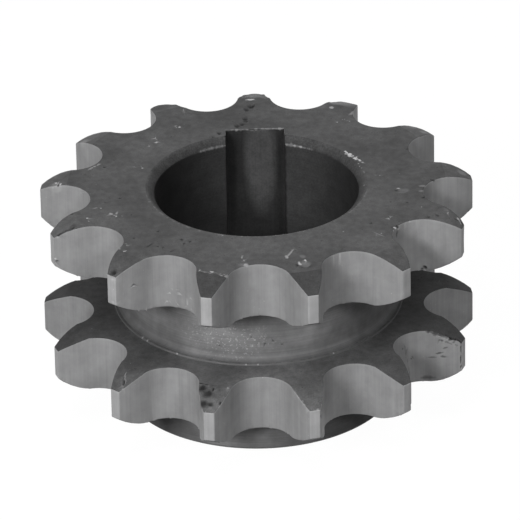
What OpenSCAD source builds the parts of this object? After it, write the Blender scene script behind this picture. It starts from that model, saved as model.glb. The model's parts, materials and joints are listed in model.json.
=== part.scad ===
// Double sprocket for two separate roller chains, turned and cut from one piece of steel.
// The origin is on the axis of the bore, at the lower end of the hub.
// +Z runs up the bore to the toothed end, and +Y points to the keyway.

/* [Chain] */
// Distance from one chain roller to the next
chain_pitch = 25.4; // [25:0.1:30]
// Diameter of the chain's rollers
roller_d = 15.88; // [14:0.01:17]

/* [Teeth] */
// Number of teeth in each row
tooth_count = 13; // [12:1:20]
// Height of a tooth's tip above the pitch circle
tip_rise = 5.63; // [3:0.01:6.5]
// Play between a roller and the round seat that it drops into
seat_play = 0.39; // [0.05:0.01:0.6]
// Angle that each round seat spans
seat_angle = 132; // [118:1:136]
// Radius of the rounded flank above each seat
flank_r = 24; // [20:0.1:40]

/* [Rows] */
// Width of each row of teeth
tooth_w = 15.6; // [13:0.1:18]
// Distance from the top of one row to the top of the other
row_spacing = 34.1; // [26:0.1:45]
// How far the side relief reaches in from the tips
relief_reach = 7.65; // [4:0.05:10]
// Depth of the relief at the tips, on the outer side of each row
relief_outer = 3.2; // [1:0.05:5]
// Depth of the relief at the tips, on the side towards the groove
relief_inner = 3.85; // [1:0.05:5]
// Radius of the curve that the relief follows
relief_r = 27; // [16:0.5:60]

/* [Hub] */
// Diameter of the boss below the lower row
boss_d = 76.4; // [66:0.2:80]
// Height of the boss below the lower row
boss_h = 11.1; // [4:0.1:30]
// Chamfer round the lower end of the boss
boss_chamfer = 1; // [0.3:0.1:2.5]
// Diameter of the neck in the groove between the rows
neck_d = 74.4; // [66:0.1:78]
// Radius in the corners between the neck and the rows
neck_fillet = 2; // [0.5:0.1:2.6]
// Height of the small step where the neck's corner meets the lower row
corner_step = 0.55; // [0.1:0.05:1]
// Radius in the corner between the boss and the lower row
boss_fillet = 1.5; // [0.5:0.1:2.6]

/* [Bore and keyway] */
// Diameter of the bore
bore_d = 55; // [40:0.5:58]
// Chamfer at both ends of the bore
bore_chamfer = 1.9; // [0.5:0.1:3]
// Width of the keyway
keyway_w = 16; // [8:0.5:18]
// Depth of the keyway, from the wall of the bore
keyway_depth = 4.3; // [2:0.1:4.5]

/* [Hidden] */
$fn = 96;
eps = 0.01;
pitch_r = chain_pitch / (2 * sin(180 / tooth_count));
root_r = pitch_r - roller_d / 2;
tip_r = pitch_r + tip_rise;
seat_r = roller_d / 2 + seat_play;
lower_row_z = boss_h;
upper_row_z = boss_h + row_spacing;
groove_z = lower_row_z + tooth_w;
total_h = upper_row_z + tooth_w;
relief_start_r = tip_r - relief_reach;
clear = 1;
steel = [0.33, 0.33, 0.34];

// Centre of the relief's arc, seen from the edge of the flat face where the relief starts
function relief_centre(depth) =
    let (chord = norm([relief_reach, depth]), drop = sqrt(relief_r^2 - chord^2 / 4))
    [relief_reach / 2 - drop * depth / chord, -depth / 2 - drop * relief_reach / chord];

// Everything below a row's upper face and its relief, in radius and height
module below_relief(depth) {
    centre = relief_centre(depth);
    arc_r = relief_start_r + centre[0];
    translate([0, -tooth_w])
        square([arc_r, tooth_w]);
    translate([arc_r, centre[1]])
        circle(r = relief_r);
}

// Section of one row's rim before its teeth are cut
module rim_section(depth_below, depth_above) {
    intersection() {
        square([tip_r, tooth_w]);
        translate([0, tooth_w])
            below_relief(depth_above);
        mirror([0, 1])
            below_relief(depth_below);
    }
}

// Hollow corner that fills the angle between a wall at the left and a face below
module corner_fillet(r) {
    difference() {
        translate([-eps, -eps])
            square(r + eps);
        translate([r, r])
            circle(r = r);
    }
}

// Section of the boss, with its chamfered end and the corner under the lower row
module boss_section() {
    boss_r = boss_d / 2;
    polygon([
        [0, 0],
        [boss_r - boss_chamfer, 0],
        [boss_r, boss_chamfer],
        [boss_r, boss_h + eps],
        [0, boss_h + eps]
    ]);
    translate([boss_r, boss_h])
        mirror([0, 1])
            corner_fillet(boss_fillet);
}

// Section of the neck, with both corners and the small step on the lower row
module neck_section() {
    neck_r = neck_d / 2;
    translate([0, groove_z - eps])
        square([neck_r, upper_row_z - groove_z + 2 * eps]);
    translate([0, groove_z - eps])
        square([neck_r + neck_fillet, corner_step + eps]);
    translate([neck_r, groove_z + corner_step])
        corner_fillet(neck_fillet);
    translate([neck_r, upper_row_z])
        mirror([0, 1])
            corner_fillet(neck_fillet);
}

// The turned blank: boss, two rims and the neck between them
module blank() {
    rotate_extrude()
        union() {
            boss_section();
            translate([0, lower_row_z])
                rim_section(relief_outer, relief_inner);
            neck_section();
            translate([0, upper_row_z])
                rim_section(relief_inner, relief_outer);
        }
}

// One gap between teeth: a round seat that runs into the two rounded flanks
module gap_outline() {
    seat_y = root_r + seat_r;
    flank_x = (seat_r + flank_r) * sin(seat_angle / 2);
    flank_y = seat_y - (seat_r + flank_r) * cos(seat_angle / 2);
    translate([0, seat_y])
        circle(r = seat_r);
    difference() {
        polygon([
            [0, seat_y],
            [flank_x, flank_y],
            [flank_x, tip_r + clear],
            [-flank_x, tip_r + clear],
            [-flank_x, flank_y]
        ]);
        for (side = [-1, 1])
            translate([side * flank_x, flank_y])
                circle(r = flank_r);
    }
}

// The gaps cut by the hob, through both rows at once
module tooth_gaps() {
    for (i = [0 : tooth_count - 1])
        rotate(-(i + 0.5) * 360 / tooth_count)
            translate([0, 0, lower_row_z - clear])
                linear_extrude(height = total_h - lower_row_z + 2 * clear)
                    gap_outline();
}

// Chamfer at one end of the bore, opening downwards from its upper edge
module bore_mouth() {
    translate([0, 0, -clear])
        cylinder(
            h = bore_chamfer + clear,
            r1 = bore_d / 2 + bore_chamfer + clear,
            r2 = bore_d / 2
        );
}

module bore() {
    translate([0, 0, -clear])
        cylinder(h = total_h + 2 * clear, d = bore_d);
    bore_mouth();
    translate([0, 0, total_h])
        mirror([0, 0, 1])
            bore_mouth();
}

// Broached through the full height, with a flat bottom
module keyway() {
    translate([-keyway_w / 2, 0, -clear])
        cube([keyway_w, bore_d / 2 + keyway_depth, total_h + 2 * clear]);
}

module sprocket() {
    color(steel)
        difference() {
            blank();
            tooth_gaps();
            bore();
            keyway();
        }
}

sprocket();
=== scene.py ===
import json
import math
import random

import bmesh
import bpy
from mathutils import Matrix, Vector, bvhtree, kdtree, noise


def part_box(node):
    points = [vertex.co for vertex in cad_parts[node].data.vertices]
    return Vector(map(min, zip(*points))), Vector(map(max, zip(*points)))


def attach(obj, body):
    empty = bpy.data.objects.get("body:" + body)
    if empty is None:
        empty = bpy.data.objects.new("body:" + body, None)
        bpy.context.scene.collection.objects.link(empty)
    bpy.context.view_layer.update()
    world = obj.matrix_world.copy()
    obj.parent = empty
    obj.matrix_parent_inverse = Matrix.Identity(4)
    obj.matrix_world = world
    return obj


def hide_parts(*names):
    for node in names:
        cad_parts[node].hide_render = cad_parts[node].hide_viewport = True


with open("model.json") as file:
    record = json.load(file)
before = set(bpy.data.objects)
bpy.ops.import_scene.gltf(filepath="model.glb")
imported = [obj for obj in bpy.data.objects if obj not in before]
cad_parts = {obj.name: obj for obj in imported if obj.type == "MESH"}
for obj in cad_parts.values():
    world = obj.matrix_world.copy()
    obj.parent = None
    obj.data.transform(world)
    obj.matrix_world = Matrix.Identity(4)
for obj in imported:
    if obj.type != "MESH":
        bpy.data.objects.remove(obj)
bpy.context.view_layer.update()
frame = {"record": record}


# The turned blank.
# The sprocket is one piece of steel. It starts as a ring turned to one section: a boss, two rims with
# relieved sides and a neck between them, bored through. Its section is drawn in millimetres.
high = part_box("sprocket")[1]
total_h = high.z * 1000
tip_r = high.y * 1000
bore_r = next(m["dims"]["r_mm"] for m in frame["record"]["mounts"] if m["name"] == "bore")
mouth = 1.9
mouth_roll = 0.45        # the chamfer's upper edge is rolled over to a curve that starts this far out
mouth_curve = mouth_roll / math.tan(math.radians(22.5))
rim_w = 15.6
lower_rim = 11.1
upper_rim = total_h - rim_w
groove = lower_rim + rim_w
relief_start = tip_r - 7.65
relief_outer, relief_inner = 3.2, 3.85
relief_curve = {relief_outer: 15.0, relief_inner: 27.0}    # radius of each relief's curve, by its depth
web_r = 43.8             # ring of points on the flat faces, just inside the seats
boss_r, boss_edge, boss_corner = 38.2, 1.0, 1.5
neck_r, neck_corner, neck_step = 37.2, 2.0, 0.55
burr_room = 0.06         # the flat face lies this much below the top of the box, which burrs reach
top_face = total_h - burr_room


def relief_drop(radius, depth):
    """How far a relief of this depth has sunk at this radius."""
    reach = tip_r - relief_start
    chord, curve = math.hypot(reach, depth), relief_curve[depth]
    sink = math.sqrt(curve ** 2 - chord ** 2 / 4)
    centre_r = relief_start + reach / 2 - sink * depth / chord
    centre_z = -depth / 2 - sink * reach / chord
    if radius <= relief_start:
        return 0.0
    return -centre_z - math.sqrt(curve ** 2 - (radius - centre_r) ** 2)


def line(start, end, steps):
    return [tuple(a + (b - a) * i / steps for a, b in zip(start, end)) for i in range(1, steps + 1)]


def arc(centre, radius, start, end, steps):
    angles = [math.radians(start + (end - start) * i / steps) for i in range(1, steps + 1)]
    return [(centre[0] + radius * math.cos(a), centre[1] + radius * math.sin(a)) for a in angles]


def relief(face, depth, side, steps):
    radii = [relief_start + (tip_r - relief_start) * i / steps for i in range(1, steps + 1)]
    return [(r, face + side * relief_drop(r, depth)) for r in radii]


section = line((bore_r, top_face - mouth), (bore_r, mouth), 14)
section += line(section[-1], (bore_r + mouth, 0), 2)
section += line(section[-1], (boss_r - boss_edge, 0), 3)
section += line(section[-1], (boss_r, boss_edge), 1)
section += line(section[-1], (boss_r, lower_rim - boss_corner), 4)
section += arc((boss_r + boss_corner, lower_rim - boss_corner), boss_corner, 180, 90, 3)
section += line(section[-1], (web_r, lower_rim), 2)
section += line(section[-1], (relief_start, lower_rim), 1)
section += relief(lower_rim, relief_outer, 1, 4)
section += line(section[-1], (tip_r, groove - relief_inner), 4)
section += relief(groove, relief_inner, -1, 4)[-2::-1]
section += [(relief_start, groove)]
section += line(section[-1], (web_r, groove), 1)
section += line(section[-1], (neck_r + neck_corner, groove), 3)
section += line(section[-1], (neck_r + neck_corner, groove + neck_step), 1)
section += arc((neck_r + neck_corner, groove + neck_step + neck_corner), neck_corner, 270, 180, 5)
section += line(section[-1], (neck_r, upper_rim - neck_corner), 8)
section += arc((neck_r + neck_corner, upper_rim - neck_corner), neck_corner, 180, 90, 4)
section += line(section[-1], (web_r, upper_rim), 2)
section += line(section[-1], (relief_start, upper_rim), 1)
section += relief(upper_rim, relief_inner, 1, 4)
section += line(section[-1], (tip_r, top_face - relief_outer), 4)
section += relief(top_face, relief_outer, -1, 4)[-2::-1]
section += [(relief_start, top_face)]
section += line(section[-1], (web_r, top_face), 3)
section += line(section[-1], (bore_r + mouth + mouth_roll, top_face), 7)
section += arc((bore_r + mouth + mouth_roll, top_face - mouth_curve), mouth_curve, 90, 135, 4)
section += line(section[-1], (bore_r, top_face - mouth), 2)

# The columns of the ring follow the teeth: from the middle of a tooth over its land and flank into the
# round seat, and back up the next tooth. One hob cuts both rims, so both rows share the same columns.
teeth = 13
pitch_angle = 360 / teeth
chain_pitch, roller_r, seat_play = 25.4, 7.94, 0.39
pitch_r = chain_pitch / (2 * math.sin(math.pi / teeth))
root_r = pitch_r - roller_r
seat_r = roller_r + seat_play
flank_r = 24.0
seat_half = math.radians(66)
seat_centre = root_r + seat_r
flank_x = (seat_r + flank_r) * math.sin(seat_half)
flank_y = seat_centre - (seat_r + flank_r) * math.cos(seat_half)
flank_far = math.hypot(flank_x, flank_y)


def flank_angle(radius):
    """How far from the middle of its gap a flank stands at this radius."""
    lean = (radius ** 2 + flank_far ** 2 - flank_r ** 2) / (2 * radius * flank_far)
    return math.degrees(math.atan2(flank_x, flank_y) - math.acos(lean))


seat_steps, flank_steps = 10, 5
seat_points = []
for i in range(seat_steps + 1):
    swing = seat_half * i / seat_steps
    x, y = seat_r * math.sin(swing), seat_centre - seat_r * math.cos(swing)
    seat_points.append((math.degrees(math.atan2(x, y)), math.hypot(x, y)))
flank_radii = [relief_start + (tip_r - relief_start) * i / flank_steps for i in range(flank_steps + 1)]
gap_half = seat_points + [(flank_angle(r), r) for r in flank_radii]
half_pitch = [(0.0, tip_r)] + [(pitch_angle / 2 - a, r) for a, r in reversed(gap_half)]
one_pitch = half_pitch + [(pitch_angle - a, r) for a, r in half_pitch[-2:0:-1]]
columns = [(k * pitch_angle + a, r) for k in range(teeth) for a, r in one_pitch]

blank = bmesh.new()
ring = [blank.verts.new((0, r, z)) for r, z in section]
rails = [blank.edges.new((ring[i - 1], ring[i])) for i in range(len(ring))]
bmesh.ops.spin(
    blank, geom=ring + rails, cent=(0, 0, 0), axis=(0, 0, 1),
    angle=2 * math.pi, steps=len(columns), use_merge=True,
)

# Hobbing and broaching.
# Each point outside a gap's outline is drawn back to it, and each point inside the keyway's outline is
# pushed out to it. The keyway's corners get columns of their own near the bore.
key_half, key_flat = 8.0, bore_r + 4.3
corner_angles = [
    math.degrees(math.atan2(key_half, key_flat)),
    math.degrees(math.asin(key_half / (bore_r + mouth))),
    math.degrees(math.asin(key_half / bore_r)),
]
near_key = [a for a, r in columns if a < 30]
first = min(range(len(near_key)), key=lambda i: abs(near_key[i] - corner_angles[0]))
moved = list(zip(near_key[first:first + 3], corner_angles))
knots = [(0.0, 0.0)] + moved + [(24.0, 24.0), (180.0, 180.0)]
inner_r, outer_r = key_flat + 2, 43.0    # between these radii the moved columns turn back to the teeth
rims = [
    (lower_rim, groove, relief_outer, relief_inner),
    (upper_rim, top_face, relief_inner, relief_outer),
]
least_strip = 0.8        # points this near inside the outline are drawn to it too, so no sliver is left


def near_bore(angle):
    """Where a column stands near the bore, so that three of them meet each side of the keyway."""
    turned = (angle + 180) % 360 - 180
    for (a0, b0), (a1, b1) in zip(knots, knots[1:]):
        if abs(turned) <= a1:
            return math.copysign(b0 + (b1 - b0) * (abs(turned) - a0) / (a1 - a0), turned)
    return turned


def hobbed(radius, z, reach):
    """Draw a point of a rim back to the gap's outline, between the heights of the two reliefs there."""
    for base, face, depth_low, depth_high in rims:
        if base - 0.01 < z < face + 0.01 and radius > reach - least_strip and radius > root_r - 1:
            edge_low = base + relief_drop(reach, depth_low)
            edge_high = face - relief_drop(reach, depth_high)
            land_low, land_high = base + depth_low, face - depth_high
            share = min(max((z - land_low) / (land_high - land_low), 0), 1)
            return reach, edge_low + share * (edge_high - edge_low)
    return radius, z


def broached(radius, z, angle):
    """Push a point of the bore out to the keyway's side or flat."""
    lean = abs(math.radians(angle))
    if lean > math.radians(corner_angles[2]) + 1e-6:
        return radius, z
    if lean > math.radians(corner_angles[0]):
        wall = key_half / math.sin(lean)
    else:
        wall = key_flat / math.cos(lean)
    if radius >= wall or radius > neck_r - 1:
        return radius, z
    lip = max(0, bore_r + mouth - wall)
    share = min(max((z - mouth) / (top_face - 2 * mouth), 0), 1)
    return wall, lip + share * (top_face - 2 * lip)


for v in blank.verts:
    radius, z = math.hypot(v.co.x, v.co.y), v.co.z
    column = round(math.degrees(math.atan2(v.co.x, v.co.y)) / 360 * len(columns)) % len(columns)
    angle, reach = columns[column]
    angle = (angle + 180) % 360 - 180
    blend = min(max((radius - inner_r) / (outer_r - inner_r), 0), 1)
    inner_angle = near_bore(angle)
    radius, z = hobbed(radius, z, reach)
    radius, z = broached(radius, z, inner_angle)
    turned = math.radians(inner_angle + (angle - inner_angle) * blend)
    v.co = Vector((radius * math.sin(turned), radius * math.cos(turned), z))
bmesh.ops.remove_doubles(blank, verts=blank.verts, dist=0.002)
bmesh.ops.dissolve_degenerate(blank, edges=blank.edges, dist=0.001)
bmesh.ops.recalc_face_normals(blank, faces=blank.faces)

# Finishes by where the tools worked: scaled faces, hobbed walls, turned neck and boss, and the bore.
# The lands, reliefs, groove, mouth and keyway get finishes of their own that carry painted light and shade.
FACE, CUT, TURNED, BORE, KEYWAY, MOUTH, RELIEF, LAND, GROOVE, BOSS = range(10)
mouth_end = bore_r + mouth + mouth_roll + 0.1
for f in blank.faces:
    middle = f.calc_center_median()
    radius = math.hypot(middle.x, middle.y)
    level = abs(f.normal.z)
    upright = level < 0.3
    in_keyway = radius > bore_r + 0.05 and abs(middle.x) < key_half + 0.05
    if radius < inner_r and upright and in_keyway:
        f.material_index = KEYWAY
    elif radius < inner_r and upright:
        f.material_index = BORE
    elif radius < mouth_end and level < 0.999:
        f.material_index = MOUTH
    elif radius > tip_r - 0.2 and upright:
        f.material_index = LAND
    elif radius > root_r - 0.5 and upright:
        f.material_index = CUT
    elif radius < boss_r + boss_corner + 0.1 and level < 0.97:
        f.material_index = TURNED if middle.z > groove - 1 else BOSS
    elif radius > relief_start and middle.z > total_h - relief_outer - burr_room:
        f.material_index = RELIEF
    elif middle.z < upper_rim + relief_inner:
        f.material_index = GROOVE
    else:
        f.material_index = FACE

# Every sharp edge is broken a little by the tumbling after hobbing.
edge_break = 0.28
sharp_from = math.radians(28)
sharp = [e for e in blank.edges if len(e.link_faces) == 2 and e.calc_face_angle() > sharp_from]
bmesh.ops.bevel(
    blank, geom=sharp, offset=edge_break, segments=2, profile=0.5,
    affect="EDGES", material=-1, clamp_overlap=False,
)


def in_order(beveled):
    """The same mesh, rounded and sorted by place, because the bevel leaves another order each run."""
    for v in beveled.verts:
        v.co = [round(c, 4) for c in v.co]
    bmesh.ops.remove_doubles(beveled, verts=beveled.verts, dist=0.0001)
    points = sorted(beveled.verts, key=lambda v: v.co[:])
    for number, v in enumerate(points):
        v.index = number
    outlines = []
    for f in beveled.faces:
        corners = [v.index for v in f.verts]
        lowest = corners.index(min(corners))
        outlines.append((corners[lowest:] + corners[:lowest], f.material_index))
    ordered = bmesh.new()
    copies = [ordered.verts.new(v.co) for v in points]
    for corners, finish in sorted(outlines):
        ordered.faces.new([copies[i] for i in corners]).material_index = finish
    ordered.normal_update()
    beveled.free()
    return ordered


blank = in_order(blank)

# Knocks and burrs.
# What heat treatment, tumbling and handling have left: dents with a raised lip, nicks in the edges,
# ragged burrs, stains and rubbed specks. Each is placed by its angle from the keyway, its radius and its
# height, and the steel gets finer points around it before it is pushed in or drawn out.
# Some marks are painted light: dark seats at the sides, a dark line in the keyway's corner, shadows beside a
# burr and a knock, lighter patches on the back reliefs, a light spot on a land and light lines along the
# bore's mouth.
upper_face, lower_face = top_face, groove
lip_middle, lip_half = 1.2, 0.4    # where the lip round a dent stands, in half widths of the dent
mark_reach = 1.7         # a mark moves nothing further out than this many half widths
finest = 0.12            # edges are halved no further than to about this length
marks = []


def mark(angle, radius, height, across, along, depth=0.0, lip=0.0, bare=0.0, grime=0.0, slant=0.0):
    """One mark: where it is, its half widths, its depth and lip, how bare and how dark it is; some marks
    paint highlight and shade this way.
    """
    turned = math.radians(angle)
    spot = Vector((radius * math.sin(turned), radius * math.cos(turned), height))
    marks.append({
        "spot": spot, "turned": turned, "across": across, "along": along, "depth": depth, "lip": lip,
        "bare": bare, "grime": grime, "slant": math.radians(slant),
        "reach": mark_reach * max(across, along), "grain": max(finest, 0.34 * min(across, along)),
        "fine": lip_middle + lip_half if lip else lip_middle,
    })


def upper_relief(radius):
    """How high the relief of the upper row's upper side lies at this radius."""
    return upper_face - relief_drop(radius, relief_outer)


def lower_relief(radius):
    return lower_face - relief_drop(radius, relief_inner)


def burr_line(start, end, count, size, lift, bare, stray=0.1, grime=0.0):
    """A ragged row of burrs from start to end, each an angle, a radius and a height."""
    for i in range(count):
        share = (i + dice.uniform(-0.4, 0.4)) / max(count - 1, 1)
        angle, radius, height = (a + (b - a) * share for a, b in zip(start, end))
        grown = size * dice.uniform(0.5, 1.3)
        mark(angle, radius + dice.uniform(-stray, stray), height, grown, grown * dice.uniform(0.5, 1),
             -lift * dice.uniform(0.3, 1), bare=bare * dice.uniform(0.2, 1) ** 1.5,
             grime=grime * dice.uniform(0.5, 1))


def gap_burrs(gap, height, drop, count, size, lift):
    """Burrs hanging from a gap's lower edge, where the hob has left the steel."""
    for i in range(count):
        place = dice.uniform(-1, 1)
        spot = abs(place) * (len(gap_half) - 1)
        (a0, r0), (a1, r1) = gap_half[int(spot)], gap_half[min(int(spot) + 1, len(gap_half) - 1)]
        share = spot - int(spot)
        radius = r0 + (r1 - r0) * share
        angle = (gap + 0.5) * pitch_angle + math.copysign(a0 + (a1 - a0) * share, place)
        grown = size * dice.uniform(0.5, 1.4)
        mark(angle, radius, height + relief_drop(radius, drop), grown, grown * 0.6,
             -lift * dice.uniform(-0.6, 1), bare=0.1 * dice.random())


dice = random.Random(11)

# dents in the upper face: a deep oval one at the front, one at the right, and shallow ones
mark(165.2, 47.0, upper_face, 1.6, 1.7, 0.45, 0.1, bare=0.13)
mark(166.6, 46.4, upper_face, 0.5, 0.6, -0.1, bare=0.85)
mark(164.3, 45.3, upper_face, 0.3, 0.4, -0.1, bare=0.9)
mark(165.4, 48.7, upper_face, 1.4, 0.35, 0.15, grime=0.9)
mark(167.6, 47.2, upper_face, 0.3, 0.8, 0.2, grime=0.9)
mark(98.0, 39.8, upper_face, 1.5, 1.4, 0.3, 0.08, bare=0.08)
mark(98.1, 38.0, upper_face, 0.45, 0.7, 0.4, 0.0, grime=1.0)
mark(96.4, 38.2, upper_face, 0.25, 0.4, -0.05, bare=0.7)
mark(108.0, 52.4, upper_face - 0.3, 0.9, 1.1, 0.25, 0.08, bare=0.15, grime=0.2)
mark(168.4, 40.6, upper_face, 0.28, 2.9, 0.1, 0.04, bare=0.35, slant=-35)
mark(169.9, 42.1, upper_face, 0.45, 0.9, 0.1, 0.04, bare=0.45)
mark(94.0, 45.0, upper_face, 0.5, 1.4, 0.06, 0.03, bare=0.2)
mark(97.8, 45.2, upper_face, 0.6, 1.2, 0.15, 0.06, bare=0.18)
mark(164.4, 43.0, upper_face, 0.8, 1.0, 0.12, 0.04, bare=0.12)
mark(101.6, 46.4, upper_face, 0.6, 0.9, 0.3, 0.0, grime=0.9)
mark(89.6, 47.5, upper_face, 0.6, 0.8, 0.3, 0.0, grime=0.8)

# bright specks where the scale has flaked off, then dark pits: angle, radius and half width
specks = [
    (289.2, 32.5, 0.5), (291.1, 34.5, 0.22), (315.8, 39.1, 0.4), (313.4, 37.1, 0.5), (309.0, 37.2, 0.35),
    (249.1, 48.6, 0.5), (247.0, 48.9, 0.28), (254.1, 43.4, 0.35), (248.6, 41.8, 0.6), (246.2, 41.1, 0.45),
    (247.9, 40.6, 0.4), (224.3, 50.8, 0.5), (226.4, 50.6, 0.4), (226.4, 47.9, 0.35), (185.2, 42.9, 0.45),
    (32.6, 41.9, 0.35), (33.9, 44.5, 0.3), (36.0, 44.2, 0.25),
    (336.0, 47.5, 0.35), (329.0, 40.0, 0.6), (198.0, 30.2, 0.3), (120.5, 41.0, 0.25), (132.0, 44.0, 0.3),
    (109.0, 46.4, 0.35), (141.0, 36.0, 0.25), (121.6, 49.2, 0.4), (84.0, 33.5, 0.25), (152.0, 49.6, 0.35),
]
for angle, radius, size in specks:
    mark(angle, radius, upper_face, size * 0.6, size * 0.6, 0.06, 0.02, bare=dice.uniform(0.4, 0.8))
    for i in range(3):
        small = size * dice.uniform(0.25, 0.45)
        mark(angle + dice.gauss(0, 0.9), radius + dice.gauss(0, 0.6), upper_face,
             small, small * dice.uniform(0.7, 1.8), 0.04, bare=dice.uniform(0.15, 0.5))
pits = [
    (228.4, 43.9, 0.35), (220.7, 43.9, 0.3), (218.0, 43.1, 0.35), (216.1, 42.7, 0.3), (226.0, 36.8, 0.45),
    (213.6, 36.4, 0.55), (211.0, 38.0, 0.4), (209.7, 36.3, 0.35), (212.0, 43.5, 0.3), (358.9, 46.0, 1.1),
    (357.5, 44.0, 0.9), (356.3, 38.6, 1.0), (356.4, 37.0, 0.6), (354.5, 35.4, 0.8), (352.0, 34.8, 0.9),
    (342.0, 31.8, 0.7), (337.7, 30.4, 0.4),
    (260.1, 37.2, 0.4), (253.5, 51.6, 0.4), (279.0, 47.0, 0.4), (285.8, 42.6, 0.4),
    (66.0, 45.0, 0.4), (107.0, 42.0, 0.4), (128.0, 38.5, 0.35), (114.5, 50.0, 0.5), (258.0, 41.5, 0.3),
]
for angle, radius, size in pits:
    mark(angle, radius, upper_face, size, size * 1.3, 0.5 * size, 0.0, grime=0.85)

# painted light: lighter patches on the reliefs of the back teeth, and a burr thrown up beside the left gap
mark(358.9, 49.9, upper_face, 1.2, 0.5, 0.1, 0.04, bare=0.7)
mark(359.4, 46.6, upper_face, 0.9, 0.9, 0.4, grime=1.0)
mark(25.8, 49.0, upper_face, 0.6, 0.7, 0.1, 0.03, bare=0.6)
mark(22.0, 48.6, upper_face, 1.8, 1.2, bare=0.06)
mark(33.6, 48.9, upper_face, 0.5, 1.4, bare=0.3)
mark(331.0, 54.5, upper_relief(54.5), 5.0, 4.0, grime=0.35)
mark(107.6, 52.0, upper_face, 1.6, 2.0, grime=0.45)
mark(246.9, 53.4, upper_relief(53.4), 1.2, 1.5, grime=0.5)
# painted light on the back reliefs, each an angle, a radius and two half widths
lit_relief_patches = [
    (0.4, 53.4, 2.6, 2.6), (27.4, 54.2, 3.4, 2.6), (24.6, 52.4, 1.2, 0.9), (52.0, 55.0, 1.6, 2.4),
    (56.5, 55.4, 1.2, 1.6), (302.0, 55.0, 1.5, 1.6), (272.5, 54.6, 1.8, 2.0), (83.0, 56.0, 1.4, 1.6),
]
for angle, radius, across, along in lit_relief_patches:
    mark(angle, radius, upper_relief(radius), across, along, bare=0.2)
burr_line((287.6, 44.4, upper_face), (283.0, 46.4, upper_face), 7, 0.35, 0.05, 0.6)

# the back teeth are rolled: full in the middle of their reliefs, and lower at the sides
rolled = [
    (332.2, 55.8, 3.2, 3.6, -0.6), (337.4, 51.6, 1.8, 2.0, 0.3), (0.2, 56.0, 1.7, 2.8, -0.22),
    (357.0, 53.4, 1.5, 2.8, 0.4), (3.5, 53.3, 1.7, 3.0, 0.55), (25.0, 53.6, 2.0, 2.6, 0.4),
]
for angle, radius, across, along, depth in rolled:
    mark(angle, radius, upper_relief(radius), across, along, depth)

# a knock in the tip of the left tooth
mark(274.7, 54.1, upper_face - 0.8, 0.5, 0.3, -0.08, bare=0.7)
mark(273.9, 53.6, upper_face - 0.7, 0.9, 0.2, -0.05, bare=0.5, slant=-15)
mark(273.2, 52.8, upper_face - 0.5, 0.5, 0.3, -0.08, bare=0.9, slant=-15)
# the dark dent below the knock is partly a real dent, partly its painted shadow
mark(273.3, 53.4, upper_face - 0.7, 0.8, 0.4, 0.3, grime=1.0, slant=-15)

# the bore's mouth: a bright scuff at the right, burrs along the near edge and beside the keyway, painted
# highlights along its edges, and painted shade in the keyway's right corner
burr_line((54.1, 30.1, upper_face), (68.2, 30.6, upper_face), 17, 0.45, 0.06, 1.6, 0.5)
burr_line((63.0, 31.4, upper_face), (69.0, 31.0, upper_face), 5, 0.3, -0.3, 0.0, 0.4, 0.9)
burr_line((70.0, 29.7, upper_face), (80.0, 29.5, upper_face), 5, 0.2, 0.04, 0.8, 0.2)
burr_line((93.0, 28.9, upper_face - 0.5), (101.0, 28.5, upper_face - 0.9), 2, 0.25, 0.03, 0.9)
near_edge = [(204.0, 186.0, 7), (235.0, 228.0, 4), (171.0, 167.0, 2), (159.0, 150.0, 5), (131.0, 127.0, 3)]
for from_angle, to_angle, count in near_edge:
    burr_line((from_angle, 29.5, upper_face), (to_angle, 29.5, upper_face), count, 0.22, 0.04, 0.6)
# painted highlights: light lines with next to no lift along the mouth's near edge, and along its lower edge
# beside the keyway
burr_line((260.0, 30.0, upper_face), (100.0, 30.0, upper_face), 90, 0.4, 0.02, 0.13, 0.06)
burr_line((17.4, 27.6, upper_face - mouth), (27.0, 27.6, upper_face - mouth), 22, 0.42, 0.0, 0.4, 0.02)
burr_line((27.0, 27.6, upper_face - mouth), (34.0, 27.6, upper_face - mouth), 12, 0.3, 0.0, 0.15, 0.02)
burr_line((342.4, 27.6, upper_face - mouth), (327.0, 27.6, upper_face - mouth), 26, 0.4, 0.0, 0.22, 0.02)


def on_key_edge(x):
    """A point on the upper face just behind the keyway, this far right of its middle."""
    return math.degrees(math.atan2(x, key_flat)), math.hypot(x, key_flat) + 0.3, upper_face


for start_x, end_x, count, shine in ((-7.8, -4.8, 8, 0.4), (-4.8, -0.8, 8, 0.2), (-0.8, 7.8, 24, 0.45)):
    burr_line(on_key_edge(start_x), on_key_edge(end_x), count, 0.42, 0.0, shine, 0.05)
mark(2.2, key_flat, upper_face, 7.2, 5.0, bare=0.035)
# painted shade: a dark line down the keyway's right corner, where its side meets the bore
for i in range(8):
    mark(17.2, bore_r, upper_face - 4 - 3.6 * i, 0.45, 2.6, grime=0.6)

# the front left tooth: a ragged crease where its relief starts, a broken corner and a knocked flank
burr_line((198.4, 50.1, upper_face), (188.9, 51.7, upper_face), 26, 0.34, 0.06, 0.3, 0.45)
burr_line((191.6, 51.2, upper_face), (188.6, 51.7, upper_face), 8, 0.4, 0.05, 0.4, 0.5)
mark(194.2, 50.3, upper_face, 0.4, 0.35, -0.06, bare=0.8)
mark(198.0, 50.3, upper_face, 0.16, 0.25, -0.05, bare=0.7)
mark(221.6, 57.8, upper_face - 2.5, 1.1, 1.0, 0.75, 0.1, grime=0.95)
mark(221.0, 58.3, upper_face - 3.7, 1.0, 0.7, 0.2, bare=0.15)
mark(217.6, 53.9, upper_face - 6.6, 0.7, 0.5, 0.22, 0.1, grime=0.35)
mark(218.3, 54.2, upper_face - 6.9, 0.35, 0.4, -0.05, bare=0.3)
seat_specks = [
    (211.1, 45.7, 49.4), (207.7, 45.1, 49.5), (212.1, 46.0, 46.9),
    (203.0, 46.2, 49.6), (208.5, 45.2, 46.2), (204.8, 45.6, 47.2),
]
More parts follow.
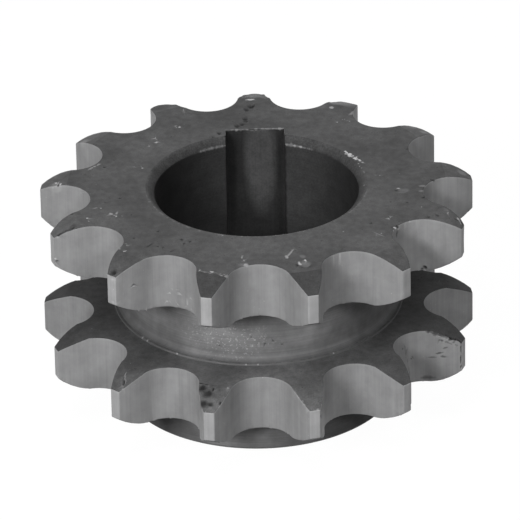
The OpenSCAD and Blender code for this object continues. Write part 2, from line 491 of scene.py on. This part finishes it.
for angle, radius, height in seat_specks:
    mark(angle, radius, height, 0.22, 0.28, -0.03, bare=0.65)
for i in range(22):
    angle, height = dice.uniform(202, 214), 46 + 5 * dice.random() ** 1.5
    mark(angle, 45.6, height, 0.15, 0.18, -0.03, bare=dice.uniform(0.2, 0.5))
# a painted highlight on the lower corner of the land
mark(195.8, 58.6, 46.4, 0.9, 0.9, bare=0.45)
burr_line((195.8, 58.6, 50.2), (191.8, 58.6, 49.6), 5, 0.7, 0.0, 0.2)
burr_line((223.6, 58.6, 50.0), (219.6, 58.6, 49.6), 5, 0.5, 0.0, 0.4)
burr_line((202.6, 46.6, 45.6), (201.0, 47.4, 45.8), 4, 0.3, 0.1, 0.1)

# the front gap's chipped upper edge, and the nicks round the other upper teeth
mark(185.6, 45.3, upper_face, 1.3, 0.7, 0.3, 0.0, bare=0.08)
mark(184.4, 45.3, upper_face - 0.5, 0.7, 0.7, 0.12, bare=0.4)
mark(124.4, 45.2, upper_face - 0.4, 0.6, 0.8, 0.4, 0.06, grime=1.0, slant=20)
mark(125.0, 45.3, upper_face - 2.2, 0.5, 1.3, 0.2, grime=0.8, slant=-15)
mark(126.2, 45.6, upper_face, 0.3, 0.8, 0.3, grime=0.7)
mark(126.0, 45.0, upper_face, 0.35, 0.45, -0.05, bare=0.8)
mark(127.4, 46.4, upper_face, 0.25, 0.3, -0.05, bare=0.5)
mark(109.2, 53.7, upper_face - 0.8, 0.5, 0.22, 0.1, 0.03, bare=0.35)
mark(112.3, 51.9, upper_face - 0.2, 0.6, 0.7, 0.2, 0.03, grime=0.7)
burr_line((109.2, 56.4, upper_face - 2.0), (110.4, 58.0, upper_face - 2.9), 9, 0.3, 0.0, 1.0, 0.1)
mark(110.1, 56.3, upper_face - 1.9, 0.25, 0.9, 0.2, grime=1.0, slant=0)
mark(109.3, tip_r, 52.5, 1.5, 9.0, 0.35, grime=0.75)
mark(116.2, 49.6, 46.1, 0.5, 0.8, 0.4, 0.1, grime=1.0, slant=25)
mark(117.2, 49.2, 45.6, 0.5, 0.5, 0.3, grime=0.8)
mark(247.9, 58.3, 51.2, 0.3, 0.3, -0.06, bare=0.9)
mark(247.3, 58.2, 50.4, 0.6, 0.45, 0.3, grime=0.8)
mark(245.6, 57.0, 52.6, 0.5, 0.6, 0.1, grime=0.35)
# a raised burr along the left tooth's relief edge, with its shadow painted dark along it
burr_line((246.2, 53.2, upper_face - 0.7), (247.5, 57.8, upper_face - 2.6), 20, 0.5, -0.2, 0.0, 0.1, 1.0)
mark(246.4, 53.7, upper_face - 0.7, 0.6, 0.7, 0.2, grime=1.0)

# stains and chips on the lower row, front left tooth first, then its neighbours and the rough right gap
stains = [
    (197.2, 52.0, 1.5, 1.4), (195.2, 53.6, 1.8, 1.5), (194.0, 56.5, 1.4, 0.9), (195.9, 56.6, 1.5, 1.3),
    (198.4, 50.5, 0.8, 0.4), (196.5, 50.7, 0.6, 0.4), (194.1, 52.1, 0.4, 0.9), (191.3, 56.0, 0.4, 0.7),
]
for angle, radius, across, along in stains:
    mark(angle, radius, lower_relief(radius), across, along, 0.15, 0.05, grime=1.0)
for angle, radius in ((192.0, 51.5), (189.9, 51.3), (190.4, 53.3)):
    mark(angle, radius, lower_relief(radius), 0.22, 0.3, -0.05, bare=0.3)
burr_line((170.6, 53.2, 25.9), (168.6, 57.2, 24.0), 14, 0.28, 0.05, 0.3)
burr_line((168.6, 58.4, 22.9), (164.4, 58.4, 22.9), 7, 0.32, 0.03, 0.3)
burr_line((164.6, 55.6, 24.6), (163.7, 58.4, 22.6), 5, 0.35, -0.2, 0.0)
mark(163.9, 58.6, 20.8, 0.4, 0.7, 0.25, grime=0.9)
mark(136.4, 58.6, 12.6, 1.1, 6.0, 0.35)
burr_line((222.4, 55.0, 24.8), (219.6, 57.6, 23.6), 5, 0.4, 0.05, 0.3)
mark(220.6, 56.0, 24.4, 0.5, 1.2, 0.2, 0.05, grime=0.7, slant=30)
for angle, radius, slant in ((221.9, 54.0, 15), (221.2, 54.9, 20), (220.3, 55.6, 35)):
    mark(angle, radius, lower_relief(radius), 0.12, 0.9, 0.08, 0.03, bare=0.35, slant=slant)
burr_line((117.4, 50.4, lower_face - 0.2), (112.9, 57.0, 24.0), 20, 0.65, -0.35, 0.0, 0.15, 1.0)
burr_line((115.0, 53.4, 24.0), (112.8, 57.4, 22.2), 8, 0.5, -0.15, 0.0, 0.3, 0.8)
smudges = [
    (115.1, 53.2, 20.0, 1.3, 0.35, 12, 0.8), (114.6, 54.2, 18.9, 1.1, 0.4, -8, 0.7),
    (116.0, 51.4, 18.6, 1.4, 0.3, 5, 0.6), (114.3, 54.6, 21.6, 0.9, 0.35, 20, 0.6),
    (119.3, 46.6, 18.6, 0.25, 0.3, 0, 0.8), (119.0, 47.0, 18.9, 0.15, 0.7, 30, 0.5),
    (122.4, 45.3, 22.6, 0.3, 0.35, 0, 0.7), (121.4, 45.6, 22.9, 0.12, 1.6, 4, 0.6),
    (121.0, 45.7, 20.4, 0.12, 1.6, 4, 0.5), (120.4, 45.9, 17.6, 0.12, 1.6, 4, 0.5),
    (119.9, 46.2, 14.9, 0.12, 1.6, 4, 0.5), (116.3, 50.2, 12.3, 2.2, 0.7, 0, 0.7),
]
for angle, radius, height, across, along, slant, stain_and_shade in smudges:
    mark(angle, radius, height, across, along, 0.1, 0.02, grime=stain_and_shade, slant=slant)
for height, along in ((24.0, 1.4), (21.0, 1.6), (17.8, 1.8), (15.6, 0.8)):
    mark(112.2 + 0.1 * dice.gauss(0, 1), 58.5, height, 0.32, along, 0.25, 0.06, grime=0.8)
mark(138.4, 46.1, 11.9, 0.35, 0.5, -0.35, bare=0.3)

# burrs along the lower edges of the gaps, most of them in the three at the front
for gap in range(teeth):
    near = gap in (5, 6, 7)
    for height in (upper_rim, lower_rim):
        drop = relief_inner if height == upper_rim else relief_outer
        gap_burrs(gap, height, drop, 16 if near else 7, 0.45, 0.16)

# seats at both sides of the sprocket, darkened with painted shade
shaded_seats = [(263.1, 19.0, 0.45), (96.9, 19.0, 0.45), (96.9, 53.0, 0.25), (290.8, 53.0, 0.45), (69.2, 53.0, 0.45)]
for angle, height, stain_and_shade in shaded_seats:
    mark(angle, root_r, height, 7.0, 8.0, grime=stain_and_shade)

# specks struck into the neck, most of them at its front
for i in range(26):
    angle, height, size = 193 + dice.gauss(0, 11), 33.4 + dice.gauss(0, 1.5), dice.uniform(0.12, 0.22)
    depth = dice.choice((0.05, 0.1))
    mark(angle, neck_r, min(height, 38.0), size, size, depth, bare=dice.uniform(0.15, 0.6))
for angle, height in ((174.7, 33.0), (183.7, 34.4), (178.0, 32.4), (197.0, 31.2), (171.0, 31.8)):
    mark(angle, neck_r, height, 0.3, 0.3, 0.12, grime=0.8)
for angle in (233.6, 230.5, 214.6, 185.7, 181.0, 150.0):
    mark(angle, neck_r + neck_corner, groove + neck_step, 0.22, 0.25, 0.05, bare=0.5)


def place_on(m, point):
    """Where a point lies on a mark, counted in the mark's own half widths."""
    away = point - m["spot"]
    return Vector((away.dot(m["side"]) / m["across"], away.dot(m["forth"]) / m["along"]))


def nearest_on(m, edge):
    """How near an edge comes to a mark's middle, counted the same way."""
    start, end = (place_on(m, v.co) for v in edge.verts)
    step = end - start
    share = min(max(-start.dot(step) / max(step.length_squared, 1e-12), 0), 1)
    return (start + step * share).length


def point_tree(points):
    tree = kdtree.KDTree(len(points))
    for v in points:
        tree.insert(v.co, v.index)
    tree.balance()
    return tree


skin = bvhtree.BVHTree.FromBMesh(blank)
for m in marks:
    m["spot"], m["normal"] = skin.find_nearest(m["spot"])[:2]
    if abs(m["normal"].z) < 0.9:
        side = m["normal"].cross(Vector((0, 0, 1)))
    else:
        side = Vector((math.cos(m["turned"]), -math.sin(m["turned"]), 0))
    m["side"] = Matrix.Rotation(m["slant"], 3, m["normal"]) @ side.normalized()
    m["forth"] = m["normal"].cross(m["side"])
longest = 4.0            # edges that cross a mark are looked for this far outside it
passes = 7               # each pass halves the edges that are still too long
for refining in range(passes):
    blank.verts.ensure_lookup_table()
    blank.verts.index_update()
    blank.edges.index_update()
    nearby = point_tree(blank.verts)
    coarse = set()
    for m in marks:
        for _, index, _ in nearby.find_range(m["spot"], m["reach"] + longest):
            for e in blank.verts[index].link_edges:
                if e.index in coarse or e.calc_length() < 2 * m["grain"]:
                    continue
                if nearest_on(m, e) < m["fine"]:
                    coarse.add(e.index)
    blank.edges.ensure_lookup_table()
    bmesh.ops.subdivide_edges(
        blank, edges=[blank.edges[i] for i in sorted(coarse)], cuts=1, use_grid_fill=True,
    )
bmesh.ops.triangulate(blank, faces=[f for f in blank.faces if len(f.verts) > 4])
blank.normal_update()
blank.verts.ensure_lookup_table()
blank.verts.index_update()
nearby = point_tree(blank.verts)
bare, grime = (blank.verts.layers.float.new(name) for name in ("bare", "grime"))
facing = [v.normal.copy() for v in blank.verts]
raggedness = 0.35
thickest = 1.2           # points further than this above or below a mark's middle are left alone
for m in marks:
    for _, index, _ in nearby.find_range(m["spot"], m["reach"]):
        v = blank.verts[index]
        above = (v.co - m["spot"]).dot(m["normal"])
        if facing[index].dot(m["normal"]) < 0.1 or abs(above) > thickest:
            continue
        ragged = 1 + raggedness * noise.noise(v.co * (0.9 / min(m["across"], m["along"])))
        out = ragged * place_on(m, v.co).length
        if out < 1:
            v.co -= m["normal"] * m["depth"] * (1 - out * out)
            v[grime] = max(v[grime], m["grime"] * min(1, 1.8 * (1 - out)))
        if abs(out - lip_middle) < lip_half:
            v.co += m["normal"] * m["lip"] * (1 - abs(out - lip_middle) / lip_half)
        v[bare] = max(v[bare], m["bare"] * min(1, 3 * (1.1 - out)))

# nothing stands past the box
for v in blank.verts:
    radius = math.hypot(v.co.x, v.co.y)
    if radius > tip_r:
        v.co.xy *= tip_r / radius
    v.co.z = min(max(v.co.z, 0), total_h)
bmesh.ops.scale(blank, vec=(0.001, 0.001, 0.001), verts=blank.verts)

mesh = bpy.data.meshes.new("sprocket_steel")
blank.to_mesh(mesh)
blank.free()
mesh.shade_smooth()
mesh.set_sharp_from_angle(angle=math.radians(32))
sprocket = bpy.data.objects.new("sprocket_steel", mesh)
bpy.context.scene.collection.objects.link(sprocket)
weights = sprocket.modifiers.new("flat_faces", "WEIGHTED_NORMAL")
weights.keep_sharp = True


# Finishes.
# Bare steel in each state that its making leaves it in: scaled, hobbed, turned, and bored. Each is
# a grey shade with noise in it, over which lie the bare and dark spots of the marks, some of them painted
# light.
# Most finishes also have painted light and shade: a shade that drifts lighter or darker across the part.
def new_finish(name, metallic, gloss):
    material = bpy.data.materials.new(name)
    material.use_nodes = True
    shader = material.node_tree.nodes["Principled BSDF"]
    shader.inputs["Metallic"].default_value = metallic
    shader.inputs["Specular IOR Level"].default_value = gloss
    mesh.materials.append(material)
    return material.node_tree, shader


def cloudy(tree, across, along, detail=3.0):
    """Noise with patches about this many millimetres across, and this many along the bore's axis."""
    coords = tree.nodes.new("ShaderNodeTexCoord")
    squeeze = tree.nodes.new("ShaderNodeMapping")
    squeeze.inputs["Scale"].default_value = (1000 / across, 1000 / across, 1000 / along)
    texture = tree.nodes.new("ShaderNodeTexNoise")
    texture.inputs["Scale"].default_value = 1
    texture.inputs["Detail"].default_value = detail
    texture.inputs["Roughness"].default_value = 0.6
    tree.links.new(coords.outputs["Object"], squeeze.inputs["Vector"])
    tree.links.new(squeeze.outputs["Vector"], texture.inputs["Vector"])
    return texture.outputs["Fac"]


def spread(tree, value, dark, light, start=0.3, end=0.7):
    """Turn a value that goes from start to end, as noise mostly does, into one from dark to light."""
    scale = tree.nodes.new("ShaderNodeMapRange")
    scale.inputs["From Min"].default_value = start
    scale.inputs["From Max"].default_value = end
    scale.inputs["To Min"].default_value = dark
    scale.inputs["To Max"].default_value = light
    tree.links.new(value, scale.inputs["Value"])
    return scale.outputs["Result"]


def combine(tree, operation, first, second):
    step = tree.nodes.new("ShaderNodeMath")
    step.operation = operation
    for socket, value in zip(step.inputs, (first, second)):
        if isinstance(value, float):
            socket.default_value = value
        else:
            tree.links.new(value, socket)
    return step.outputs[0]


def product(tree, first, *others):
    for value in others:
        first = combine(tree, "MULTIPLY", first, value)
    return first


def drift(tree, spot, stretch, near, far, at_near, at_far):
    """A factor that changes with the distance from a spot, counted once each axis is stretched."""
    coords = tree.nodes.new("ShaderNodeTexCoord")
    scaled = tree.nodes.new("ShaderNodeVectorMath")
    scaled.operation = "MULTIPLY"
    scaled.inputs[1].default_value = [1000 * s for s in stretch]
    apart = tree.nodes.new("ShaderNodeVectorMath")
    apart.operation = "DISTANCE"
    apart.inputs[1].default_value = [a * s for a, s in zip(spot, stretch)]
    tree.links.new(coords.outputs["Object"], scaled.inputs[0])
    tree.links.new(scaled.outputs[0], apart.inputs[0])
    return spread(tree, apart.outputs["Value"], at_near, at_far, near, far)


def painted(tree, name):
    attribute = tree.nodes.new("ShaderNodeAttribute")
    attribute.attribute_name = name
    return attribute.outputs["Fac"]


bare_and_highlight_grey = 0.6         # grey of a bare speck, and of a painted highlight
grime_and_shade_depth = 0.8        # share of the light taken where grime and painted shade are darkest
steel_tint = (1.0, 1.0, 1.01)


def finish_surface(tree, shader, shade, rough, height, depth):
    """Grey base colour with the rubbed and dirty marks over it, some of them painted highlight and painted
    shade, roughness, and the finest relief.
    """
    bare_and_highlight_mix = tree.nodes.new("ShaderNodeMix")
    bare_and_highlight_mix.data_type = "FLOAT"
    tree.links.new(painted(tree, "bare"), bare_and_highlight_mix.inputs[0])
    tree.links.new(shade, bare_and_highlight_mix.inputs[2])
    bare_and_highlight_mix.inputs[3].default_value = bare_and_highlight_grey
    undarkened = combine(tree, "SUBTRACT", 1.0, product(tree, painted(tree, "grime"), grime_and_shade_depth))
    grey = product(tree, bare_and_highlight_mix.outputs[0], undarkened)
    colour = tree.nodes.new("ShaderNodeCombineColor")
    for socket, tint in zip(colour.inputs, steel_tint):
        tree.links.new(product(tree, grey, tint), socket)
    tree.links.new(colour.outputs[0], shader.inputs["Base Color"])
    tree.links.new(rough, shader.inputs["Roughness"])
    bump = tree.nodes.new("ShaderNodeBump")
    bump.inputs["Distance"].default_value = depth / 1000
    tree.links.new(height, bump.inputs["Height"])
    tree.links.new(bump.outputs["Normal"], shader.inputs["Normal"])


def scaled_face(name, shade, painted_light_drift=None):
    """Dark mill scale, mottled, with fine pits and a few specks where it has flaked off."""
    tree, shader = new_finish(name, 0.05, 0.1)
    mottle = spread(tree, cloudy(tree, 14, 14), 0.78 * shade, 1.22 * shade)
    blotch = spread(tree, cloudy(tree, 1.8, 1.8, 5), 0.8, 1.2)
    grain = cloudy(tree, 0.45, 0.45, 4)
    pits = spread(tree, cloudy(tree, 0.9, 0.9, 1), 1, 0.55, 0.70, 0.76)
    flecks = spread(tree, cloudy(tree, 0.75, 0.75, 2), 0, 0.16, 0.735, 0.79)
    base = product(tree, mottle, blotch, pits, spread(tree, grain, 0.86, 1.14))
    base = combine(tree, "ADD", base, flecks)
    # painted light and shade, for the reliefs and the groove
    if painted_light_drift:
        base = product(tree, base, drift(tree, *painted_light_drift))
    rough = spread(tree, grain, 0.5, 0.68)
    finish_surface(tree, shader, base, rough, product(tree, grain, pits), 0.03)


def hobbed_wall(name, shade):
    """Clean cut steel with the hob's marks running down each flank and seat."""
    tree, shader = new_finish(name, 0.05, 0.1)
    broad = spread(tree, cloudy(tree, 1.6, 40), 0.93 * shade, 1.07 * shade)
    streak = cloudy(tree, 0.4, 14)
    blotch = spread(tree, cloudy(tree, 3.5, 3.5, 4), 0.92, 1.08)
    flecks = spread(tree, cloudy(tree, 0.7, 0.7, 2), 0, 0.25, 0.73, 0.79)
    base = product(tree, broad, blotch, spread(tree, streak, 0.96, 1.04))
    base = combine(tree, "ADD", base, flecks)
    finish_surface(tree, shader, base, spread(tree, streak, 0.42, 0.55), streak, 0.012)


def turned_neck(name, shade, wall_r, painted_light_drift):
    """Turned steel with fine lathe lines, painted shade in its corner, speckled at the front by tumbling,
    and painted light drifting over it.
    """
    tree, shader = new_finish(name, 0.1, 0.1)
    lines = cloudy(tree, 30, 0.22, 2)
    blotch = spread(tree, cloudy(tree, 5, 5, 4), 0.8 * shade, 1.2 * shade)
    struck = drift(tree, (-8, -36, 33.2), (1, 1, 2.2), 4, 15, 1, 0)
    speckle = spread(tree, cloudy(tree, 0.55, 0.55, 2), 0, 0.3, 0.58, 0.72)
    # painted shade in the corner where the turned wall runs out into the flat face
    painted_corner_shade = drift(tree, (0, 0, 0), (1, 1, 0), wall_r + 0.1, wall_r + 1, 1, 0.78)
    base = product(tree, blotch, spread(tree, lines, 0.88, 1.12), painted_corner_shade)
    base = combine(tree, "ADD", base, product(tree, speckle, struck))
    base = product(tree, base, drift(tree, *painted_light_drift))
    finish_surface(tree, shader, base, spread(tree, lines, 0.5, 0.62), lines, 0.015)


def bored_wall(name, shade, across, along, patchy, painted_light_drift):
    """Dark bore with fine lines left by the tool that cut it, and painted light and shade drifting over it.
    """
    tree, shader = new_finish(name, 0.05, 0.1)
    lines = cloudy(tree, across, along, 3)
    blotch = spread(tree, cloudy(tree, 4, 4, 4), (1 - patchy) * shade, (1 + patchy) * shade)
    grain = spread(tree, cloudy(tree, 0.5, 0.5, 3), 1 - 0.8 * patchy, 1 + 0.8 * patchy)
    base = product(tree, blotch, grain, spread(tree, lines, 0.92, 1.08), drift(tree, *painted_light_drift))
    finish_surface(tree, shader, base, spread(tree, lines, 0.42, 0.55), lines, 0.01)


# The finishes, in the order of their numbers, each with its shade. The long tuple is painted light and
# shade:
# the spot a shade drifts from, how its distance counts on each axis, two distances, and the factor that
# holds at each.
scaled_face("scaled_face", 0.087)
hobbed_wall("hobbed_wall", 0.33)
# painted light: the neck is lighter at a spot at its front and darker away from it
turned_neck("turned_neck", 0.19, neck_r, ((-4, -38, 36.5), (0.7, 0.7, 3), 6, 36, 1.7, 0.7))
# painted light: the bore is lighter beside the keyway and darker away from it
bored_wall("bored_wall", 0.032, 30, 0.3, 0.15, ((4, 27, 54), (1, 1, 0.4), 9, 34, 1.6, 0.5))
# painted shade: the keyway's flat darkens towards its corners and away from its upper part
bored_wall("broached_keyway", 0.068, 0.4, 30, 0.15, ((1.4, 32, 52), (1, 0, 0.27), 2.8, 5.2, 1.15, 0.45))
# painted shade: the mouth darkens towards the bore
bored_wall("bore_mouth", 0.056, 30, 0.2, 0.3, ((0, 0, 0), (1, 1, 0), 27.6, 30.1, 0.68, 1.2))
# painted shade and light: the reliefs are darker at the front teeth and lighter at the back
scaled_face("scaled_relief", 0.092, ((0, -58, 0), (1, 1, 0), 12, 75, 0.55, 1.2))
# painted highlight: the lands are a lighter copy of the hobbed wall
hobbed_wall("tooth_land", 0.45)
# painted shade: the groove's faces are lighter at the front and darker at the sides and back
scaled_face("scaled_groove", 0.092, ((0, -46, 27), (1, 1, 0), 8, 60, 1.4, 0.6))
# painted light: the boss is lighter at its front and darker towards its sides
turned_neck("turned_boss", 0.2, boss_r, ((-4, -39, 6), (1, 1, 0), 6, 24, 1.4, 0.5))
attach(sprocket, "root")
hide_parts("sprocket")


# The camera, at the height and turn from which the sprocket was photographed.
# It stands about 1.7 metres away, with a long lens.
tilt = math.radians(28.535)
turn = math.radians(-0.312)
roll = math.radians(1.087)
photo_pixels = 520
tip_r_pixels = 216.967   # radius of the tips in the photo
tip_r_m, height_m = tip_r / 1000, total_h / 1000
camera_far = 29.295      # this length and the next three are counted in radii of the tips
aim_down = 0.35
look_x, look_y = -0.0098, 0.0416
aim = Vector((0, 0, height_m - aim_down * tip_r_m))
across = Vector((math.cos(turn), math.sin(turn), 0))
ahead = Vector((-math.sin(turn), math.cos(turn), 0))
rise = ahead * math.sin(tilt) + Vector((0, 0, math.cos(tilt)))
back = -ahead * math.cos(tilt) + Vector((0, 0, math.sin(tilt)))
place = aim + (back * camera_far - across * look_x - rise * look_y) * tip_r_m
right = across * math.cos(roll) - rise * math.sin(roll)
up = across * math.sin(roll) + rise * math.cos(roll)
camera_data = bpy.data.cameras.new("camera")
camera_data.sensor_width = 36
camera_data.lens = camera_data.sensor_width * tip_r_pixels * camera_far / photo_pixels
camera_data.clip_end = 100
camera = bpy.data.objects.new("camera", camera_data)
camera.matrix_world = Matrix((
    (right.x, up.x, back.x, place.x),
    (right.y, up.y, back.y, place.y),
    (right.z, up.z, back.z, place.z),
    (0, 0, 0, 1),
))
bpy.context.scene.collection.objects.link(camera)
bpy.context.scene.camera = camera


# The stage: a plain white table, pale studio surroundings and five soft boxes.
# The table and the surroundings look white to the camera and in the steel, but hardly light it.
def white_to_camera(tree, plain, white):
    path = tree.nodes.new("ShaderNodeLightPath")
    seen = tree.nodes.new("ShaderNodeMath")
    seen.operation = "MAXIMUM"
    either = tree.nodes.new("ShaderNodeMath")
    either.operation = "MAXIMUM"
    mix = tree.nodes.new("ShaderNodeMixShader")
    tree.links.new(path.outputs["Is Camera Ray"], seen.inputs[0])
    tree.links.new(path.outputs["Is Glossy Ray"], seen.inputs[1])
    tree.links.new(seen.outputs[0], either.inputs[0])
    tree.links.new(path.outputs["Is Transmission Ray"], either.inputs[1])
    tree.links.new(either.outputs[0], mix.inputs[0])
    tree.links.new(plain.outputs[0], mix.inputs[1])
    tree.links.new(white.outputs[0], mix.inputs[2])
    return mix


world = bpy.data.worlds.new("studio")
world.use_nodes = True
tree = world.node_tree
plain = tree.nodes["Background"]
plain.inputs["Color"].default_value = (1, 1, 1, 1)
plain.inputs["Strength"].default_value = 0.02
white = tree.nodes.new("ShaderNodeBackground")
white.inputs["Strength"].default_value = 1
seen_world = white_to_camera(tree, plain, white)
tree.links.new(seen_world.outputs[0], tree.nodes["World Output"].inputs["Surface"])
bpy.context.scene.world = world

table_mesh = bpy.data.meshes.new("table")
table = bmesh.new()
bmesh.ops.create_grid(table, x_segments=1, y_segments=1, size=20)
table.to_mesh(table_mesh)
table.free()
floor = bpy.data.objects.new("table", table_mesh)
bpy.context.scene.collection.objects.link(floor)
paper = bpy.data.materials.new("table_paper")
paper.use_nodes = True
tree = paper.node_tree
matt = tree.nodes["Principled BSDF"]
matt.inputs["Base Color"].default_value = (0.9, 0.9, 0.9, 1)
matt.inputs["Roughness"].default_value = 0.9
dim = tree.nodes.new("ShaderNodeBsdfDiffuse")
dim.inputs["Color"].default_value = (0.1, 0.1, 0.1, 1)
glow = tree.nodes.new("ShaderNodeEmission")
glow.inputs["Strength"].default_value = 1.02
bright = tree.nodes.new("ShaderNodeMixShader")
bright.inputs[0].default_value = 0.96
tree.links.new(matt.outputs[0], bright.inputs[1])
tree.links.new(glow.outputs[0], bright.inputs[2])
seen_table = white_to_camera(tree, dim, bright)
tree.links.new(seen_table.outputs[0], tree.nodes["Material Output"].inputs["Surface"])
table_mesh.materials.append(paper)

lamp_far = 1.2


def soft_box(name, azimuth, elevation, size, watts):
    """A round lamp aimed at the sprocket, so many degrees left of the front and so many up."""
    lamp = bpy.data.lights.new(name, "AREA")
    lamp.shape = "DISK"
    lamp.size = size
    lamp.energy = watts
    box = bpy.data.objects.new(name, lamp)
    a, e = math.radians(azimuth), math.radians(elevation)
    away = Vector((-math.sin(a) * math.cos(e), -math.cos(a) * math.cos(e), math.sin(e))) * lamp_far
    box.location = away + Vector((0, 0, height_m / 2))
    box.rotation_euler = (-away).to_track_quat("-Z", "Y").to_euler()
    bpy.context.scene.collection.objects.link(box)


soft_box("left", 45, 30, 0.3, 3.5)
soft_box("front_left", 28, 28, 0.25, 4.7)
soft_box("front_right", -25, 35, 0.3, 3.6)
soft_box("high_left", 30, 60, 0.3, 2.5)
soft_box("overhead", 0, 85, 0.6, 4.4)
bpy.context.scene.view_settings.view_transform = "Standard"
